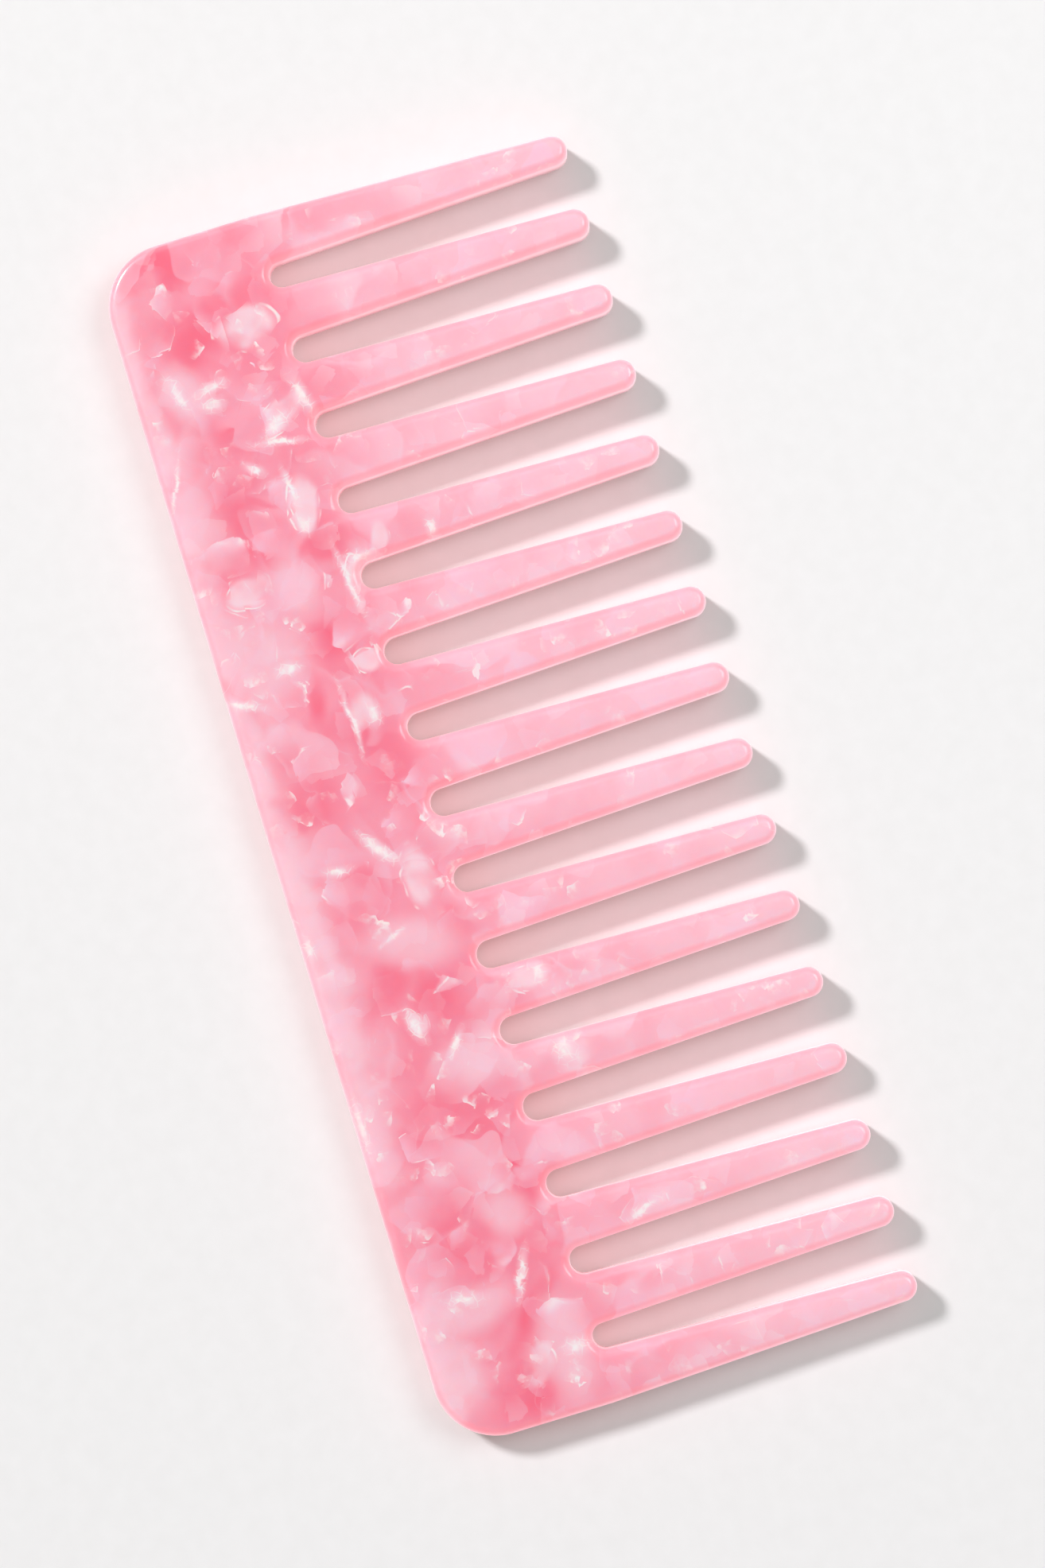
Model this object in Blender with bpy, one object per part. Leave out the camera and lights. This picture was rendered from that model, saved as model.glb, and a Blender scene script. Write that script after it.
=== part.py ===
"""Wide tooth comb, cut in one piece from a slab of pearl acetate.

Metres, +Z up. +X runs along the comb, the teeth point to -Y, and +Z runs through the slab.
The origin is at the middle of the comb's box, on the face that it lies on.
"""
import math

import bmesh
import bpy

# The blank.
LENGTH = 0.146
DEPTH = 0.0576
THICKNESS = 0.0046
CORNER_RADIUS = 0.0075
EDGE_RADIUS = 0.0010

# The teeth. Widths are measured between a tooth's straight sides.
TOOTH_COUNT = 16
SPINE_DEPTH = 0.0195
INNER_PITCH = 0.009345
END_PITCH = 0.00907
ROOT_WIDTH = 0.00609
TIP_WIDTH = 0.00344

# Facets per arc.
ARC_SEGMENTS = 8
EDGE_SEGMENTS = 4

# The acetate.
PEARL_PINK = (0.95, 0.47, 0.57, 1.0)
POLISH_ROUGHNESS = 0.12
SMOOTH_ANGLE = math.radians(40)

TIP_Y = -DEPTH / 2
ROOT_Y = DEPTH / 2 - SPINE_DEPTH
SIDE_ANGLE = math.atan2((ROOT_WIDTH - TIP_WIDTH) / 2, ROOT_Y - TIP_Y)


def clear_objects():
    for old in list(bpy.data.objects):
        bpy.data.objects.remove(old, do_unlink=True)


def tooth_centres():
    """X of each tooth, from the -X end. The two end gaps are a little narrower."""
    inner = TOOTH_COUNT - 2
    first = -INNER_PITCH * (inner - 1) / 2
    centres = [first + INNER_PITCH * i for i in range(inner)]
    return [first - END_PITCH] + centres + [-first + END_PITCH]


def cap_radius(half_width):
    """Radius of the arc that closes two sides leaning together by SIDE_ANGLE each.

    half_width is half the distance between the sides, level with the far point of the arc.
    """
    return half_width * math.cos(SIDE_ANGLE) / (1 - math.sin(SIDE_ANGLE))


def arc(centre, radius, start, end):
    """Outline points, each (x, y, direction of the outward normal).

    A negative radius is a concave arc, whose normals point to its own centre.
    """
    points = []
    for i in range(ARC_SEGMENTS + 1):
        angle = start + (end - start) * i / ARC_SEGMENTS
        x = centre[0] + radius * math.cos(angle)
        y = centre[1] + radius * math.sin(angle)
        points.append((x, y, angle))
    return points


def end_side_lean(tip_centre, tip_radius):
    """Lean of an end tooth's outer side, from the bottom of the gaps to its tip's arc."""
    across = LENGTH / 2 - tip_centre[0]
    along = ROOT_Y - tip_centre[1]
    reach = math.hypot(across, along)
    return math.acos(tip_radius / reach) - math.atan2(along, across)


def comb_outline():
    """The comb's outline at mid thickness, anticlockwise seen from +Z."""
    centres = tooth_centres()
    tip_radius = cap_radius(TIP_WIDTH / 2)
    tip_centre_y = TIP_Y + tip_radius
    end_lean = end_side_lean((centres[-1], tip_centre_y), tip_radius)

    corner_x = LENGTH / 2 - CORNER_RADIUS
    corner_y = DEPTH / 2 - CORNER_RADIUS
    outline = arc((corner_x, corner_y), CORNER_RADIUS, 0, math.pi / 2)
    outline += arc((-corner_x, corner_y), CORNER_RADIUS, math.pi / 2, math.pi)
    outline.append((-LENGTH / 2, ROOT_Y, math.pi + end_lean / 2))

    for i, x in enumerate(centres):
        first = i == 0
        last = i == TOOTH_COUNT - 1
        lean_in = end_lean if first else SIDE_ANGLE
        lean_out = end_lean if last else SIDE_ANGLE
        outline += arc((x, tip_centre_y), tip_radius, math.pi + lean_in, 2 * math.pi - lean_out)
        if not last:
            outline += gap_arc(x, centres[i + 1])

    outline.append((LENGTH / 2, ROOT_Y, -end_lean / 2))
    return outline


def gap_arc(left, right):
    """The round bottom of the gap between two teeth."""
    gap_width = right - left - ROOT_WIDTH
    radius = cap_radius(gap_width / 2)
    centre = ((left + right) / 2, ROOT_Y - radius)
    return arc(centre, -radius, -SIDE_ANGLE, SIDE_ANGLE - math.pi)


def edge_levels():
    """(inset, z) of each ring, from the bottom face to the top face."""
    lower = []
    for i in range(EDGE_SEGMENTS + 1):
        angle = math.pi / 2 * i / EDGE_SEGMENTS
        inset = EDGE_RADIUS * (1 - math.sin(angle))
        height = EDGE_RADIUS * (1 - math.cos(angle))
        lower.append((inset, height))
    upper = [(inset, THICKNESS - height) for inset, height in reversed(lower)]
    return lower + upper


def comb_mesh():
    """One closed solid: a ring of the outline at each level, and a flat face at each end."""
    outline = comb_outline()
    bm = bmesh.new()
    rings = []
    for inset, z in edge_levels():
        ring = []
        for x, y, normal in outline:
            position = (x - inset * math.cos(normal), y - inset * math.sin(normal), z)
            ring.append(bm.verts.new(position))
        rings.append(ring)

    count = len(outline)
    for below, above in zip(rings, rings[1:]):
        for i in range(count):
            j = (i + 1) % count
            bm.faces.new((below[i], below[j], above[j], above[i]))
    bm.faces.new(list(reversed(rings[0])))
    bm.faces.new(rings[-1])

    mesh = bpy.data.meshes.new("comb")
    bm.to_mesh(mesh)
    bm.free()
    return mesh


def pearl_acetate():
    material = bpy.data.materials.new("pearl_acetate")
    material.use_nodes = True
    shader = material.node_tree.nodes["Principled BSDF"]
    shader.inputs["Base Color"].default_value = PEARL_PINK
    shader.inputs["Roughness"].default_value = POLISH_ROUGHNESS
    shader.inputs["Metallic"].default_value = 0.0
    material.diffuse_color = PEARL_PINK
    return material


def make_comb():
    mesh = comb_mesh()
    mesh.materials.append(pearl_acetate())
    mesh.shade_smooth()
    mesh.set_sharp_from_angle(angle=SMOOTH_ANGLE)
    comb = bpy.data.objects.new("comb", mesh)
    bpy.context.collection.objects.link(comb)
    return comb


clear_objects()
make_comb()
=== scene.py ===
"""The looks of the wide tooth comb: polished pearl acetate on a pale studio table, seen from above."""
import math

import bmesh
import bpy
from mathutils import Matrix, Vector


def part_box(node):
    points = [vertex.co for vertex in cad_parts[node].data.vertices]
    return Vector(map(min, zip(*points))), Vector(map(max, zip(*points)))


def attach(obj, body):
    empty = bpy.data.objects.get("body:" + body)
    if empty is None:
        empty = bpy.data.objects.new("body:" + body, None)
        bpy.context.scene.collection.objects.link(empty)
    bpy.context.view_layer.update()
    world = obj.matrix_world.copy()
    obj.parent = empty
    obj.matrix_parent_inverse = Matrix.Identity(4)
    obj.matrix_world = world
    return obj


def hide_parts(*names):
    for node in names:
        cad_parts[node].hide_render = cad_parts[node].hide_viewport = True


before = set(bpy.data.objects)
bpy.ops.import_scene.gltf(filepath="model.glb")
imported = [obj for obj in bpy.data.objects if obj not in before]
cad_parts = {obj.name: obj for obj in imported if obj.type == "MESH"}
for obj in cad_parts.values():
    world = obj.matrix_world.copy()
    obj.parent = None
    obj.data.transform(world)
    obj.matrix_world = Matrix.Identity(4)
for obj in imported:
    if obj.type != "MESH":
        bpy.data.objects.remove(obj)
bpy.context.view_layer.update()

MM = 0.001

# The comb, from the frame. The widths below are the CAD model's.
COMB_LOW, COMB_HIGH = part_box("comb")
LENGTH = COMB_HIGH.x - COMB_LOW.x
DEPTH = COMB_HIGH.y - COMB_LOW.y
THICKNESS = COMB_HIGH.z - COMB_LOW.z
CORNER_RADIUS = 7.5 * MM
EDGE_RADIUS = 1.0 * MM
FACE_RING_INSET = 1.15 * EDGE_RADIUS
TOOTH_COUNT = 16
SPINE_DEPTH = 19.5 * MM
INNER_PITCH = 9.345 * MM
END_PITCH = 9.07 * MM
ROOT_WIDTH = 6.09 * MM
TIP_WIDTH = 3.44 * MM

ARC_SEGMENTS = 28
EDGE_SEGMENTS = 10
SIDE_STEP = 1.2 * MM

TIP_Y = -DEPTH / 2
ROOT_Y = DEPTH / 2 - SPINE_DEPTH
SIDE_ANGLE = math.atan2((ROOT_WIDTH - TIP_WIDTH) / 2, ROOT_Y - TIP_Y)


# ---------------------------------------------------------------- shape

def tooth_centres():
    """X of each tooth, from the -X end. The two end gaps are a little narrower."""
    inner = TOOTH_COUNT - 2
    first = -INNER_PITCH * (inner - 1) / 2
    centres = [first + INNER_PITCH * i for i in range(inner)]
    return [first - END_PITCH] + centres + [-first + END_PITCH]


def cap_radius(half_width):
    """Radius of the arc that closes two sides leaning together by SIDE_ANGLE each."""
    return half_width * math.cos(SIDE_ANGLE) / (1 - math.sin(SIDE_ANGLE))


def arc(centre, radius, start, end):
    """Outline points, each (x, y, direction of the outward normal); radius < 0 is concave."""
    points = []
    for i in range(ARC_SEGMENTS + 1):
        angle = start + (end - start) * i / ARC_SEGMENTS
        x = centre[0] + radius * math.cos(angle)
        y = centre[1] + radius * math.sin(angle)
        points.append((x, y, angle))
    return points


def end_side_lean(tip_centre, tip_radius):
    """Lean of an end tooth's outer side, from the bottom of the gaps to its tip's arc."""
    across = LENGTH / 2 - tip_centre[0]
    along = ROOT_Y - tip_centre[1]
    reach = math.hypot(across, along)
    return math.acos(tip_radius / reach) - math.atan2(along, across)


def gap_arc(left, right):
    """The round bottom of the gap between two teeth."""
    radius = cap_radius((right - left - ROOT_WIDTH) / 2)
    centre = ((left + right) / 2, ROOT_Y - radius)
    return arc(centre, -radius, -SIDE_ANGLE, SIDE_ANGLE - math.pi)


def comb_outline():
    """The comb's outline at mid thickness, anticlockwise seen from +Z."""
    centres = tooth_centres()
    tip_radius = cap_radius(TIP_WIDTH / 2)
    tip_centre_y = TIP_Y + tip_radius
    end_lean = end_side_lean((centres[-1], tip_centre_y), tip_radius)

    corner_x = LENGTH / 2 - CORNER_RADIUS
    corner_y = DEPTH / 2 - CORNER_RADIUS
    outline = arc((corner_x, corner_y), CORNER_RADIUS, 0, math.pi / 2)
    outline += arc((-corner_x, corner_y), CORNER_RADIUS, math.pi / 2, math.pi)
    outline.append((-LENGTH / 2, ROOT_Y, math.pi + end_lean / 2))
    for i, x in enumerate(centres):
        last = i == TOOTH_COUNT - 1
        lean_in = end_lean if i == 0 else SIDE_ANGLE
        lean_out = end_lean if last else SIDE_ANGLE
        outline += arc((x, tip_centre_y), tip_radius, math.pi + lean_in, 2 * math.pi - lean_out)
        if not last:
            outline += gap_arc(x, centres[i + 1])
    outline.append((LENGTH / 2, ROOT_Y, -end_lean / 2))
    return outline


def split_long_sides(outline):
    """Adds points along the straight sides, so that the rounded edges are near-square quads."""
    fine = []
    for here, after in zip(outline, outline[1:] + outline[:1]):
        fine.append(here)
        length = math.hypot(after[0] - here[0], after[1] - here[1])
        pieces = max(1, round(length / SIDE_STEP))
        turn = math.remainder(after[2] - here[2], 2 * math.pi)
        for i in range(1, pieces):
            t = i / pieces
            x = here[0] + (after[0] - here[0]) * t
            y = here[1] + (after[1] - here[1]) * t
            fine.append((x, y, here[2] + turn * t))
    return fine


def edge_levels():
    """(inset, z) of each ring, from the bottom face to the top face.

    The first and last rings lie on the flat faces, just inside the rounding.
    """
    lower = [(FACE_RING_INSET, 0.0)]
    for i in range(EDGE_SEGMENTS + 1):
        angle = math.pi / 2 * i / EDGE_SEGMENTS
        inset = EDGE_RADIUS * (1 - math.sin(angle))
        height = EDGE_RADIUS * (1 - math.cos(angle))
        lower.append((inset, height))
    upper = [(inset, THICKNESS - height) for inset, height in reversed(lower)]
    return lower + upper


def comb_body():
    """The comb as one closed, smooth-shaded skin."""
    outline = split_long_sides(comb_outline())
    bm = bmesh.new()
    rings = []
    for inset, z in edge_levels():
        ring = []
        for x, y, normal in outline:
            position = (x - inset * math.cos(normal), y - inset * math.sin(normal), z)
            ring.append(bm.verts.new(position))
        rings.append(ring)
    count = len(outline)
    for below, above in zip(rings, rings[1:]):
        for i in range(count):
            j = (i + 1) % count
            bm.faces.new((below[i], below[j], above[j], above[i]))
    bm.faces.new(list(reversed(rings[0])))
    bm.faces.new(rings[-1])
    mesh = bpy.data.meshes.new("comb_body")
    bm.to_mesh(mesh)
    bm.free()
    mesh.shade_smooth()
    body = bpy.data.objects.new("comb_body", mesh)
    bpy.context.collection.objects.link(body)
    return body


# ---------------------------------------------------------------- material helpers

class Nodes:
    """Short forms for building a node tree."""

    def __init__(self, owner):
        """owner is a material or a world."""
        owner.use_nodes = True
        self.tree = owner.node_tree
        self.tree.nodes.clear()

    def add(self, kind, **settings):
        node = self.tree.nodes.new(kind)
        for name, value in settings.items():
            setattr(node, name, value)
        return node

    def wire(self, source, socket):
        """Links a socket, or sets a plain value."""
        if isinstance(source, bpy.types.NodeSocket):
            self.tree.links.new(source, socket)
        elif source is not None:
            socket.default_value = source

    def math(self, operation, a, b=None, c=None, clamp=False):
        node = self.add("ShaderNodeMath", operation=operation, use_clamp=clamp)
        for value, socket in zip((a, b, c), node.inputs):
            self.wire(value, socket)
        return node.outputs[0]

    def vector(self, operation, a, b=None, scale=None):
        node = self.add("ShaderNodeVectorMath", operation=operation)
        self.wire(a, node.inputs[0])
        if b is not None:
            self.wire(b, node.inputs[1])
        if scale is not None:
            self.wire(scale, node.inputs["Scale"])
        return node.outputs["Value" if operation in ("DOT_PRODUCT", "LENGTH") else "Vector"]

    def ramp(self, value, low, high, smooth=True):
        """0 at low, 1 at high, and level beyond them. low may be the larger of the two."""
        node = self.add("ShaderNodeMapRange", interpolation_type="SMOOTHSTEP" if smooth else "LINEAR")
        self.wire(value, node.inputs["Value"])
        node.inputs["From Min"].default_value = low
        node.inputs["From Max"].default_value = high
        return node.outputs["Result"]

    def noise(self, position, scale, detail=2.0, colour=False):
        node = self.add("ShaderNodeTexNoise")
        self.wire(position, node.inputs["Vector"])
        node.inputs["Scale"].default_value = scale
        node.inputs["Detail"].default_value = detail
        return node.outputs["Color" if colour else "Fac"]

    def cells(self, position, scale, feature="F1"):
        node = self.add("ShaderNodeTexVoronoi", feature=feature)
        self.wire(position, node.inputs["Vector"])
        node.inputs["Scale"].default_value = scale
        return node

    def mix(self, factor, a, b, blend="MIX"):
        """Mixes two colours. The Mix node repeats its socket names, so they go by identifier."""
        node = self.add("ShaderNodeMix", data_type="RGBA", blend_type=blend)
        sockets = {socket.identifier: socket for socket in node.inputs}
        self.wire(factor, sockets["Factor_Float"])
        self.wire(a, sockets["A_Color"])
        self.wire(b, sockets["B_Color"])
        return next(s for s in node.outputs if s.identifier == "Result_Color")

    def show(self, shader, kind="ShaderNodeOutputMaterial"):
        """Makes the shader the surface of the material or world."""
        output = self.add(kind)
        self.wire(shader, output.inputs["Surface"])

    def bump(self, height, distance):
        node = self.add("ShaderNodeBump")
        node.inputs["Distance"].default_value = distance
        self.wire(height, node.inputs["Height"])
        return node.outputs["Normal"]


def srgb(red, green, blue):
    """An 8-bit sRGB colour as a linear RGBA one."""
    linear = [((v / 255 + 0.055) / 1.055) ** 2.4 for v in (red, green, blue)]
    return (*linear, 1.0)


# ---------------------------------------------------------------- pearl acetate

# Positions in the material are in millimetres, and colours are what the polished face looks like.
DEEP_PINK = srgb(252, 122, 148)
CLEAR_PINK = srgb(254, 164, 183)
SOFT_PINK = srgb(255, 192, 207)
PALE_PINK = srgb(255, 212, 223)
LILAC_PEARL = srgb(250, 206, 224)
# The cream is a painted highlight colour, for the glints and the thin bright lines.
PAINTED_GLINT_CREAM = srgb(255, 238, 238)
WHITE_PINK = srgb(255, 222, 230)

# How much of a lamp's light passes each face.
TOOTH_SHADOW = (0.39, 0.42, 0.385, 1.0)
SPINE_SHADOW = (0.37, 0.39, 0.35, 1.0)

# Painted glow and painted shade at the edges: an emission in the pink stands in for light passing
# through the slab, and the rounded edges and upright sides are painted darker.
# A rounded edge has its full tint from where the sine of its tilt passes FULL_EDGE_SINE.
PAINTED_GLOW_PINK = (1.0, 0.62, 0.64, 1.0)
PAINTED_GLOW_SHARE = 0.35
PAINTED_EDGE_GLOW = 0.57
PAINTED_FACE_GLOW = 0.05
PAINTED_EDGE_SHADE = (0.62, 0.24, 0.3, 1.0)
PAINTED_WALL_SHADE = (1.0, 0.8, 0.8, 1.0)
FULL_EDGE_SINE = 0.68

# Inside the slab, and its polish.
ACETATE_IOR = 1.49
SCATTER_RADIUS = (1.0, 0.65, 0.55)
SCATTER_SCALE = 1.8 * MM
SCATTER_FORWARD = 0.6
POLISH_ROUGHNESS = 0.06
POLISH_RIPPLE = 0.03 * MM

# How far patches reach below the upper face, in millimetres. The pools and drifts go right through.
THROUGH = 40.0
FILM_DEPTH = 3.5
GLINT_DEPTH = 2.5

# What stands out in this slab, each (x, y, half length, half width, turn in degrees).
DEEP_POOLS = (
    (62.5, 17.0, 9.0, 2.6, -60), (60.0, 21.5, 3.6, 3.0, 0), (70.0, 21.5, 3.2, 4.2, 0),
    (50.0, 19.0, 4.2, 3.6, 20), (46.5, 24.5, 4.0, 1.6, -60), (38.0, 20.5, 6.0, 4.2, 10),
    (33.5, 24.0, 2.6, 3.2, 0), (33.0, 12.5, 3.2, 4.6, 0), (22.2, 15.0, 2.4, 2.6, 0),
    (15.5, 18.4, 2.6, 1.1, -15), (4.5, 22.5, 6.0, 3.8, 10), (6.5, 12.0, 5.2, 3.0, 15),
    (-6.0, 18.5, 1.8, 3.0, -40), (-19.0, 20.0, 3.6, 2.2, -20), (-22.0, 14.5, 3.2, 3.0, 0),
    (-35.0, 17.5, 4.2, 8.0, 0), (-38.0, 24.0, 4.0, 3.2, 0), (-50.0, 22.0, 6.5, 5.0, 0),
    (-45.0, 12.5, 6.5, 2.4, 0), (-69.0, 18.5, 3.0, 4.0, 0), (-59.8, 14.8, 5.2, 1.2, -42),
)
PALE_DRIFTS = (
    (-64.0, 25.5, 5.0, 3.0, 0), (-58.0, 21.5, 2.6, 5.0, 15), (-65.0, 12.5, 6.0, 3.4, 0),
    (-14.0, 27.2, 19.0, 2.6, 0), (-14.5, 16.0, 3.0, 6.0, -15), (-48.0, 14.5, 3.0, 2.6, 0),
    (-30.0, 12.5, 3.0, 3.2, 20), (13.0, 27.6, 6.0, 2.0, 0), (22.0, 22.5, 5.0, 5.4, 0),
    (29.5, 17.0, 4.0, 2.8, 10), (55.0, 23.0, 4.0, 2.6, 20), (52.0, 27.6, 6.0, 1.8, 0),
)
PALE_FILMS = (
    (60.2, 13.6, 2.9, 3.9, -15), (49.6, 12.0, 3.9, 1.4, -58), (38.4, 12.6, 3.6, 2.0, -8),
    (12.6, 13.4, 2.8, 2.0, -10), (28.2, 9.9, 3.8, 1.5, -12), (18.6, 11.4, 2.2, 1.8, 30),
    (-8.0, 12.4, 4.2, 2.4, 0), (-3.0, 16.4, 2.2, 0.9, 35), (-24.0, 18.4, 1.8, 1.0, 20),
    (-32.6, 1.6, 2.4, 3.2, 0), (-22.8, 4.0, 2.0, 3.2, 0), (32.4, 5.2, 2.6, 1.3, -15),
    (-66.0, 16.6, 3.0, 1.9, -50), (30.6, 22.6, 2.0, 2.8, 10),
)
# The glints are painted highlights: spots painted bright cream where pearl would catch the lamp.
PAINTED_GLINTS = (
    (48.4, 13.4, 1.3, 0.55, -60), (50.7, 9.6, 1.6, 0.5, 12), (46.2, 13.6, 1.9, 0.28, 78),
    (36.0, 13.9, 0.9, 0.6, 30), (40.6, 14.0, 1.5, 0.25, 8), (12.4, 12.6, 0.9, 0.6, 0),
    (12.4, 15.2, 2.6, 0.22, 3), (20.2, 20.6, 0.5, 0.9, 0), (17.6, 27.0, 1.6, 0.35, 70),
    (44.0, 17.6, 0.8, 0.4, 50), (52.8, 20.0, 0.5, 0.9, -10), (54.6, 19.8, 0.4, 1.2, 10),
    (55.0, 23.6, 1.5, 0.4, 15), (44.4, 27.2, 2.4, 0.18, -22), (28.0, 10.6, 2.6, 0.3, 8),
    (30.6, 8.6, 1.1, 0.4, 80), (-3.0, 16.6, 1.7, 0.45, 38), (-4.2, 22.0, 0.4, 1.0, -10),
    (-13.4, 18.0, 1.0, 0.22, -65), (-24.4, 18.4, 1.2, 0.5, 20), (-27.6, 14.6, 1.3, 0.35, -40),
    (-12.0, 27.8, 0.9, 0.5, 0), (-33.5, 28.0, 2.0, 0.4, 0), (-56.4, 22.2, 0.5, 1.3, -12),
    (-55.6, 15.0, 1.8, 0.35, -25), (-65.2, 11.2, 0.6, 1.0, 0), (-32.0, 2.6, 1.0, 0.8, 30),
    (-22.4, 3.0, 0.9, 0.5, 10), (-52.4, -0.8, 0.4, 1.5, 20), (31.2, -0.4, 0.8, 0.4, 0),
)


def millimetres(nodes):
    """The position on the comb, in millimetres."""
    coordinates = nodes.add("ShaderNodeTexCoord").outputs["Object"]
    return nodes.vector("SCALE", coordinates, scale=1 / MM)


def xyz(nodes, vector, name):
    node = nodes.add("ShaderNodeSeparateXYZ")
    nodes.wire(vector, node.inputs[0])
    return node.outputs[name]


def shift(nodes, position, seed):
    """Moves the position, so that each noise or set of cells differs from the others."""
    return nodes.vector("ADD", position, (seed, -1.3 * seed, 0.4 * seed))


def warped(nodes, position, size, amount, seed):
    """The position pushed about by noise, so that straight edges turn into flowing ones."""
    push = nodes.noise(shift(nodes, position, seed), 1 / size, detail=2.0, colour=True)
    centred = nodes.vector("SUBTRACT", push, (0.5, 0.5, 0.5))
    return nodes.vector("ADD", position, nodes.vector("SCALE", centred, scale=amount))


def broken(nodes, position, size, amount, seed):
    """The position jumps a little from cell to cell, so that an outline breaks like a flake."""
    cell = nodes.cells(shift(nodes, position, seed), 1 / size)
    centred = nodes.vector("SUBTRACT", cell.outputs["Color"], (0.5, 0.5, 0.5))
    return nodes.vector("ADD", position, nodes.vector("SCALE", centred, scale=amount))


def patches(nodes, position, places, depth):
    """How far from the nearest of some ellipses: 0 at a centre, 1 on an outline.

    depth is how far below the upper face they reach.
    """
    nearest = None
    for x, y, along, across, turn in places:
        place = nodes.add("ShaderNodeMapping", vector_type="TEXTURE")
        nodes.wire(position, place.inputs["Vector"])
        place.inputs["Location"].default_value = (x, y, THICKNESS / MM)
        place.inputs["Rotation"].default_value = (0, 0, math.radians(turn))
        place.inputs["Scale"].default_value = (along, across, depth)
        distance = nodes.vector("LENGTH", place.outputs["Vector"])
        nearest = distance if nearest is None else nodes.math("MINIMUM", nearest, distance)
    return nearest


class Films:
    """Folded films of pearl of one size, each in a cell of its own.

    fold runs from 0 to 1 across each cell in a direction of its own, so that a film fades out
    on one side and ends at a torn edge on the other. softness blurs the edges: 0 is crisp.
    """

    def __init__(self, nodes, position, size, seed, share, softness=None):
        self.nodes = nodes
        moved = shift(nodes, position, seed)
        if softness is None:
            cell = nodes.cells(moved, 1 / size)
        else:
            cell = nodes.cells(moved, 1 / size, feature="SMOOTH_F1")
            nodes.wire(softness, cell.inputs["Smoothness"])
        self.moved = moved
        self.size = size
        random = nodes.vector("SUBTRACT", cell.outputs["Color"], (0.5, 0.5, 0.5))
        way = nodes.vector("NORMALIZE", random)
        from_centre = nodes.vector("SUBTRACT", moved, cell.outputs["Position"])
        along = nodes.vector("DOT_PRODUCT", from_centre, way)
        self.fold = nodes.math("MULTIPLY_ADD", along, 1 / size, 0.5, clamp=True)
        split = nodes.add("ShaderNodeSeparateColor")
        nodes.wire(cell.outputs["Color"], split.inputs[0])
        self.tone = split.outputs["Green"]
        self.held = nodes.ramp(split.outputs["Blue"], 0.97 - share, 1.03 - share)

    def shown(self, start, end, strength):
        """How strongly a film shows: 0 where it fades out, most at its torn edge."""
        faded = self.nodes.math("MULTIPLY", self.nodes.ramp(self.fold, start, end), self.held)
        return self.nodes.math("MULTIPLY", faded, strength)

    def edge_line(self, width):
        """1 on the torn edges of the films that are held, 0 elsewhere."""
        edge = self.nodes.cells(self.moved, 1 / self.size, feature="DISTANCE_TO_EDGE")
        distance = self.nodes.math("MULTIPLY", edge.outputs["Distance"], self.size)
        line = self.nodes.ramp(distance, width, 0.25 * width)
        return self.nodes.math("MULTIPLY", line, self.shown(0.4, 0.75, 1.0))


def pearl_ground(nodes, here, flowed, in_spine):
    """The clear pink: deeper in soft pools, paler in drifts and down the teeth, and paler along the
    back as painted light on the side that faces the key lamp.
    """
    pools = nodes.noise(shift(nodes, flowed, 9.0), 1 / 6, detail=2.0)
    near_pool = nodes.ramp(patches(nodes, flowed, DEEP_POOLS, THROUGH), 1.5, 0.3)
    near_drift = nodes.ramp(patches(nodes, flowed, PALE_DRIFTS, THROUGH), 1.4, 0.4)
    depth = nodes.math("MULTIPLY", nodes.ramp(pools, 0.38, 0.66), 0.35)
    depth = nodes.math("MULTIPLY_ADD", near_pool, 0.6, depth)
    depth = nodes.math("MULTIPLY", depth, nodes.math("MULTIPLY_ADD", in_spine, 0.4, 0.6))
    ground = nodes.mix(in_spine, SOFT_PINK, CLEAR_PINK)
    ground = nodes.mix(depth, ground, DEEP_PINK)
    ground = nodes.mix(nodes.math("MULTIPLY", near_drift, 0.6), ground, PALE_PINK)
    y = xyz(nodes, here, "Y")
    # Painted light: paler in streaks towards the back, the edge that faces the key lamp.
    streaks = nodes.math("MULTIPLY_ADD", nodes.ramp(pools, 0.6, 0.4), 0.5, 0.32)
    painted_lit_back = nodes.math("MULTIPLY", nodes.ramp(y, 20.0, 29.0), streaks)
    at_tips = nodes.math("MULTIPLY", nodes.ramp(y, 2.0, -29.0, smooth=False), 0.7)
    return nodes.mix(nodes.math("ADD", painted_lit_back, at_tips), ground, PALE_PINK)


def deep_veils(nodes, colour, bent, blur, on_teeth):
    """Large films lie deep and show as faint veils, here crisp and there blurred."""
    for size, seed, share, strength in ((12.0, 5.0, 0.5, 0.4), (7.0, 23.0, 0.45, 0.45)):
        veil = Films(nodes, bent, size, seed, share, blur)
        tint = nodes.mix(veil.tone, PALE_PINK, LILAC_PEARL)
        film = nodes.math("MULTIPLY", veil.shown(0.2, 1.0, strength), on_teeth)
        colour = nodes.mix(film, colour, tint)
    return colour


def near_films(nodes, colour, chips, torn, drift, on_teeth):
    """Smaller films lie near the face, brighter and harder edged: chips, and fainter flakes."""
    chip = nodes.math("MULTIPLY", chips.shown(0.2, 1.0, 0.9), nodes.ramp(drift, 0.2, 0.7))
    colour = nodes.mix(chip, colour, nodes.mix(chips.tone, PALE_PINK, LILAC_PEARL))
    flakes = Films(nodes, torn, size=2.6, seed=47.0, share=0.3)
    flake = nodes.math("MULTIPLY", flakes.shown(0.0, 1.0, 0.26), on_teeth)
    return nodes.mix(flake, colour, nodes.mix(flakes.tone, WHITE_PINK, LILAC_PEARL))


def large_films(nodes, colour, large, drift):
    """The big pale films that stand out most."""
    film = nodes.math("MULTIPLY", nodes.ramp(large, 1.02, 0.6), nodes.ramp(drift, 0.2, 0.65))
    return nodes.mix(nodes.math("MULTIPLY", film, 0.8), colour, WHITE_PINK)


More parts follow.
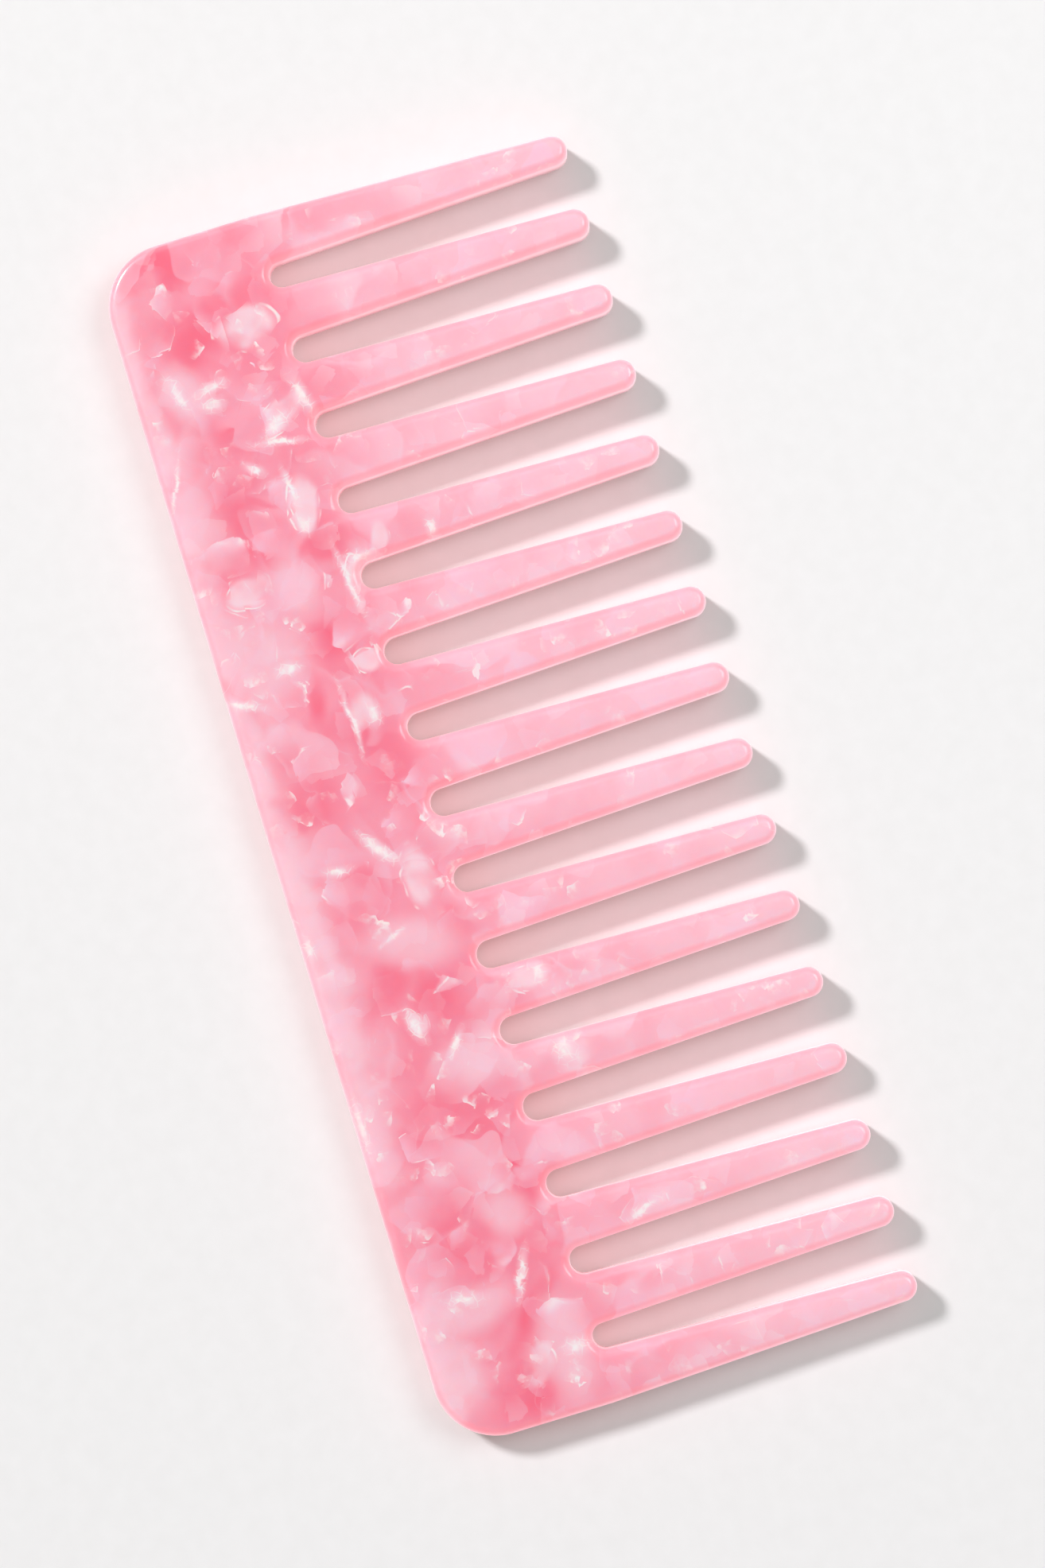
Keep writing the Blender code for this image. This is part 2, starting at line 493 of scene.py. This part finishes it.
def painted_flakes_and_glints(nodes, colour, here, torn):
    """Painted glints: small cream flakes in loose clusters painted bright as glints, and the listed
    glints, with a painted halo in the pink about each.

    Returns the colour and the halo's strength.
    """
    cluster = nodes.ramp(nodes.noise(shift(nodes, here, 15.0), 1 / 9, detail=1.0), 0.43, 0.55)
    ragged = nodes.ramp(nodes.noise(shift(nodes, here, 71.0), 1 / 0.8, detail=2.0), 0.4, 0.62)
    shards = Films(nodes, torn, size=1.7, seed=31.0, share=0.17)
    shard = nodes.math("MULTIPLY", shards.shown(0.3, 1.1, 1.0), cluster)
    shard = nodes.math("MULTIPLY", shard, nodes.math("MULTIPLY_ADD", ragged, 0.8, 0.2))
    glints = patches(nodes, torn, PAINTED_GLINTS, GLINT_DEPTH)
    # A painted halo of pale pink about each painted glint.
    halo = nodes.math("MULTIPLY", nodes.ramp(glints, 2.6, 0.8), 0.5)
    colour = nodes.mix(halo, colour, WHITE_PINK)
    glint = nodes.ramp(glints, 1.3, 0.5)
    glint = nodes.math("MULTIPLY", glint, nodes.math("MULTIPLY_ADD", ragged, 0.5, 0.5))
    bright = nodes.math("MAXIMUM", shard, glint)
    return nodes.mix(bright, colour, PAINTED_GLINT_CREAM), halo


def painted_edge_highlights(nodes, colour, here, torn, chips, large, drift, halo):
    """Painted highlights: thin bright cream lines painted along torn edges and creases, here and
    there, where they would catch the light.
    """
    painted_line_share = nodes.ramp(nodes.noise(shift(nodes, here, 27.0), 1 / 3.0, detail=1.0), 0.41, 0.56)
    outline = nodes.math("MULTIPLY", nodes.ramp(large, 1.02, 0.98), nodes.ramp(large, 0.88, 0.94))
    crest = nodes.math("MULTIPLY", chips.shown(0.7, 1.1, 1.0), nodes.ramp(drift, 0.35, 0.65))
    rim = nodes.math("MULTIPLY", outline, nodes.ramp(drift, 0.45, 0.6))
    lines = nodes.math("MAXIMUM", nodes.math("MAXIMUM", chips.edge_line(0.15), rim), crest)
    lines = nodes.math("MULTIPLY", nodes.math("MULTIPLY", lines, painted_line_share), 0.85)
    crease = nodes.cells(torn, 1 / 1.3, feature="DISTANCE_TO_EDGE").outputs["Distance"]
    crease = nodes.math("MULTIPLY", nodes.ramp(crease, 0.06, 0.015), nodes.math("MULTIPLY", halo, 1.4))
    return nodes.mix(nodes.math("MAXIMUM", lines, crease), colour, PAINTED_GLINT_CREAM)


def edges_and_walls(nodes, here):
    """Two shares: how far a rounded edge has turned, 0 on the flat faces; 1 on the upright sides."""
    half = THICKNESS / MM / 2
    from_middle = nodes.math("ABSOLUTE", nodes.math("SUBTRACT", xyz(nodes, here, "Z"), half))
    cosine = nodes.ramp(from_middle, half - EDGE_RADIUS / MM, half, smooth=False)
    sine = nodes.math("SQRT", nodes.math("SUBTRACT", 1.0, nodes.math("MULTIPLY", cosine, cosine)))
    edges = nodes.ramp(sine, 0.0, FULL_EDGE_SINE, smooth=False)
    walls = nodes.ramp(from_middle, half - 0.5, half - 1.3)
    return edges, walls


def painted_glow_strength(nodes, here, edges):
    """Strength of the painted glow, an emission standing in for light passing through the slab: most
    at the upper rounded edges, a little on the faces.
    """
    high = nodes.ramp(xyz(nodes, here, "Z"), 0.5, 3.4)
    at_top = nodes.math("MULTIPLY_ADD", high, 0.85, 0.15)
    return nodes.math("MULTIPLY_ADD", nodes.math("MULTIPLY", edges, at_top), PAINTED_EDGE_GLOW, PAINTED_FACE_GLOW)


def polished_slab(nodes, here, colour, tone):
    """The slab as a scattering body under a clear polish. tone is the pearl's, from film to film."""
    shader = nodes.add("ShaderNodeBsdfPrincipled")
    nodes.wire(colour, shader.inputs["Base Color"])
    nodes.wire(nodes.math("MULTIPLY_ADD", tone, 0.2, 0.3), shader.inputs["Roughness"])
    shader.inputs["IOR"].default_value = ACETATE_IOR
    shader.inputs["Subsurface Weight"].default_value = 1.0
    shader.inputs["Subsurface Radius"].default_value = SCATTER_RADIUS
    shader.inputs["Subsurface Scale"].default_value = SCATTER_SCALE
    shader.inputs["Subsurface Anisotropy"].default_value = SCATTER_FORWARD
    shader.inputs["Coat Weight"].default_value = 1.0
    shader.inputs["Coat Roughness"].default_value = POLISH_ROUGHNESS
    shader.inputs["Coat IOR"].default_value = ACETATE_IOR
    ripple = nodes.noise(here, 1 / 6, detail=1.0)
    nodes.wire(nodes.bump(ripple, POLISH_RIPPLE), shader.inputs["Coat Normal"])
    return shader.outputs["BSDF"]


def with_painted_glow(nodes, slab, here, colour, edges):
    """The slab with its painted glow added: an emission in the pink that stands in for light passing
    through it.
    """
    lit = nodes.add("ShaderNodeEmission")
    nodes.wire(colour, lit.inputs["Color"])
    nodes.wire(painted_glow_strength(nodes, here, edges), lit.inputs["Strength"])
    glowing = nodes.add("ShaderNodeAddShader")
    nodes.wire(slab, glowing.inputs[0])
    nodes.wire(lit.outputs["Emission"], glowing.inputs[1])
    return glowing.outputs["Shader"]


def with_pink_shadow(nodes, slab, in_spine):
    """The slab with lamps shining through it, so that its shadow is a pink one."""
    through = nodes.add("ShaderNodeBsdfTransparent")
    nodes.wire(nodes.mix(in_spine, TOOTH_SHADOW, SPINE_SHADOW), through.inputs["Color"])
    either = nodes.add("ShaderNodeMixShader")
    nodes.wire(nodes.add("ShaderNodeLightPath").outputs["Is Shadow Ray"], either.inputs[0])
    nodes.wire(slab, either.inputs[1])
    nodes.wire(through.outputs["BSDF"], either.inputs[2])
    return either.outputs["Shader"]


def pearl_acetate():
    """Clear pink acetate holding folded films of pearl in several sizes, under a deep polish."""
    material = bpy.data.materials.new("pearl_acetate")
    nodes = Nodes(material)

    # Positions to draw with: flowing ones, and ones broken up like flakes.
    here = millimetres(nodes)
    bent = warped(nodes, here, size=7.0, amount=5.0, seed=3.0)
    flowed = warped(nodes, here, size=3.0, amount=0.9, seed=7.0)
    torn = broken(nodes, flowed, size=1.6, amount=0.35, seed=13.0)
    faceted = broken(nodes, flowed, size=4.0, amount=1.4, seed=19.0)

    # in_spine is 0 out on the teeth. on_teeth is 1 in the spine, and more where films show more.
    in_spine = nodes.ramp(xyz(nodes, here, "Y"), -2.0, 12.0)
    on_teeth = nodes.math("MULTIPLY_ADD", in_spine, -0.8, 1.8)

    # The marbling from the deepest layer up, then painted glints and thin lines of painted highlight
    # over it.
    colour = pearl_ground(nodes, here, flowed, in_spine)
    blur = nodes.ramp(nodes.noise(shift(nodes, here, 51.0), 1 / 9, detail=1.0), 0.36, 0.56)
    blur = nodes.math("MULTIPLY_ADD", blur, 0.6, 0.06)
    colour = deep_veils(nodes, colour, bent, blur, on_teeth)
    drift = nodes.noise(shift(nodes, here, 61.0), 1 / 3.5, detail=1.5)
    chips = Films(nodes, torn, size=4.4, seed=17.0, share=0.42, softness=blur)
    colour = near_films(nodes, colour, chips, torn, drift, on_teeth)
    large = patches(nodes, faceted, PALE_FILMS, FILM_DEPTH)
    colour = large_films(nodes, colour, large, drift)
    colour, halo = painted_flakes_and_glints(nodes, colour, here, torn)
    colour = painted_edge_highlights(nodes, colour, here, torn, chips, large, drift, halo)

    # Painted light at the edges: the rounded edges and upright sides are painted darker, a painted
    # shade, and a painted glow, an emission, stands in for light passing through the slab.
    glow = nodes.mix(PAINTED_GLOW_SHARE, colour, PAINTED_GLOW_PINK)
    edges, walls = edges_and_walls(nodes, here)
    # Painted shade: the rounded edges darker, against the lamp brightening their lit side, and the
    # upright sides a deeper pink.
    colour = nodes.mix(edges, colour, PAINTED_EDGE_SHADE, blend="MULTIPLY")
    colour = nodes.mix(walls, colour, PAINTED_WALL_SHADE, blend="MULTIPLY")
    slab = polished_slab(nodes, here, colour, chips.tone)
    slab = with_painted_glow(nodes, slab, here, glow, edges)
    nodes.show(with_pink_shadow(nodes, slab, in_spine))
    return material


# ---------------------------------------------------------------- studio

FLOOR_SIZE = 4.0
FLOOR_DROP = 0.1 * MM
PAPER_DARK = (0.855, 0.85, 0.85, 1.0)
PAPER_LIGHT = (0.875, 0.87, 0.872, 1.0)
PAPER_ROUGHNESS = 0.8
PAPER_SHINE = 0.2
PAPER_GRAIN = 0.01 * MM

# The surround's level is CEILING_LEVEL overhead, with WALL_EXTRA added at the horizon and a paler
# band there. Its height is the sine of the angle above the horizon.
STUDIO_WHITE = (0.99, 0.985, 1.0, 1.0)
CEILING_LEVEL = 0.245
WALL_EXTRA = 0.07
HORIZON_EXTRA = 0.5
HORIZON_HEIGHT = 0.12

# Where each lamp stands: (right, up) in the picture, and its angle above the table.
KEY_DIRECTION = (-0.812, 0.584)
KEY_COLOUR = (1.0, 0.99, 0.975)
KEY_ELEVATION = math.radians(41.6)
KEY_POWER = 88.0
KEY_DISTANCE = 3.2
KEY_SIZE = 0.54
FILL_DIRECTION = (0.9, 0.44)
FILL_COLOUR = (0.985, 0.985, 1.0)
FILL_ELEVATION = math.radians(52)
FILL_POWER = 2.3
FILL_DISTANCE = 0.9
FILL_SIZE = 0.5


def paper():
    """Plain matt white paper with a fine grain."""
    material = bpy.data.materials.new("paper")
    nodes = Nodes(material)
    here = millimetres(nodes)
    fibre = nodes.noise(here, 1 / 2.5, detail=4.0)
    tone = nodes.mix(nodes.ramp(fibre, 0.3, 0.7, smooth=False), PAPER_DARK, PAPER_LIGHT)
    shader = nodes.add("ShaderNodeBsdfPrincipled")
    nodes.wire(tone, shader.inputs["Base Color"])
    shader.inputs["Roughness"].default_value = PAPER_ROUGHNESS
    shader.inputs["Specular IOR Level"].default_value = PAPER_SHINE
    nodes.wire(nodes.bump(fibre, PAPER_GRAIN), shader.inputs["Normal"])
    nodes.show(shader.outputs["BSDF"])
    return material


def paper_floor():
    """A square sheet of paper, just under the comb."""
    half = FLOOR_SIZE / 2
    mesh = bpy.data.meshes.new("studio_floor")
    corners = [(-half, -half, 0), (half, -half, 0), (half, half, 0), (-half, half, 0)]
    mesh.from_pydata(corners, [], [(0, 1, 2, 3)])
    mesh.materials.append(paper())
    floor = bpy.data.objects.new("studio_floor", mesh)
    floor.location.z = COMB_LOW.z - FLOOR_DROP
    bpy.context.collection.objects.link(floor)


def aim(thing, target):
    """Turns a lamp to shine at the target."""
    thing.rotation_mode = "QUATERNION"
    thing.rotation_quaternion = (target - thing.location).to_track_quat("-Z", "Y")


def picture_direction(right, up):
    """A direction on the table, given as the picture shows it: right and up."""
    return (CAMERA_RIGHT * right + CAMERA_UP * up).normalized()


def lamp(name, direction, elevation, distance, size, power, colour):
    """A round soft box, in the direction that the picture shows."""
    light = bpy.data.lights.new(name, "AREA")
    light.shape = "DISK"
    light.size = size
    light.energy = power
    light.color = colour
    holder = bpy.data.objects.new(name, light)
    flat = picture_direction(*direction) * math.cos(elevation)
    holder.location = (flat + Vector((0, 0, math.sin(elevation)))) * distance
    aim(holder, Vector((0, 0, 0)))
    bpy.context.collection.objects.link(holder)


def lamps():
    """A small key light up and to the left throws the shadows; a wide fill is up and to the right."""
    lamp("key", KEY_DIRECTION, KEY_ELEVATION, KEY_DISTANCE, KEY_SIZE, KEY_POWER, KEY_COLOUR)
    lamp("fill", FILL_DIRECTION, FILL_ELEVATION, FILL_DISTANCE, FILL_SIZE, FILL_POWER, FILL_COLOUR)


def soft_surround():
    """White studio walls: a pale band at the horizon, darker towards the ceiling."""
    world = bpy.data.worlds.new("studio")
    nodes = Nodes(world)
    direction = nodes.add("ShaderNodeTexCoord").outputs["Generated"]
    height = xyz(nodes, direction, "Z")
    low = nodes.ramp(height, 1.0, 0.0, smooth=False)
    wall = nodes.math("MULTIPLY_ADD", low, WALL_EXTRA, CEILING_LEVEL)
    level = nodes.math("MULTIPLY_ADD", nodes.ramp(height, HORIZON_HEIGHT, 0.0), HORIZON_EXTRA, wall)
    background = nodes.add("ShaderNodeBackground")
    background.inputs["Color"].default_value = STUDIO_WHITE
    nodes.wire(level, background.inputs["Strength"])
    nodes.show(background.outputs["Background"], "ShaderNodeOutputWorld")
    bpy.context.scene.world = world


# The camera hangs over the comb, a little towards its -X end.
FOCAL_LENGTH = 100.0
SENSOR_WIDTH = 36.0
CLIP_START = 0.01
CLIP_END = 20.0
CAMERA_PLACE = Vector((-23.6, -11.4, 515.0)) * MM
CAMERA_TARGET = Vector((-0.65, -1.81, 2.3)) * MM
CAMERA_TURN = math.radians(107.0)
CAMERA_RIGHT = Vector((math.cos(CAMERA_TURN), -math.sin(CAMERA_TURN), 0))
CAMERA_UP = Vector((math.sin(CAMERA_TURN), math.cos(CAMERA_TURN), 0))


def camera():
    """Looks at CAMERA_TARGET, with CAMERA_UP towards the top of the picture."""
    lens = bpy.data.cameras.new("camera")
    lens.lens = FOCAL_LENGTH
    lens.sensor_width = SENSOR_WIDTH
    lens.clip_start = CLIP_START
    lens.clip_end = CLIP_END
    eye = bpy.data.objects.new("camera", lens)
    back = (CAMERA_PLACE - CAMERA_TARGET).normalized()
    right = CAMERA_UP.cross(back).normalized()
    up = back.cross(right)
    eye.matrix_world = Matrix((right, up, back)).transposed().to_4x4()
    eye.location = CAMERA_PLACE
    bpy.context.collection.objects.link(eye)
    bpy.context.scene.camera = eye


# ---------------------------------------------------------------- build

body = comb_body()
body.data.materials.append(pearl_acetate())
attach(body, "root")
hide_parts("comb")
paper_floor()
lamps()
soft_surround()
camera()
bpy.context.scene.view_settings.view_transform = "Standard"
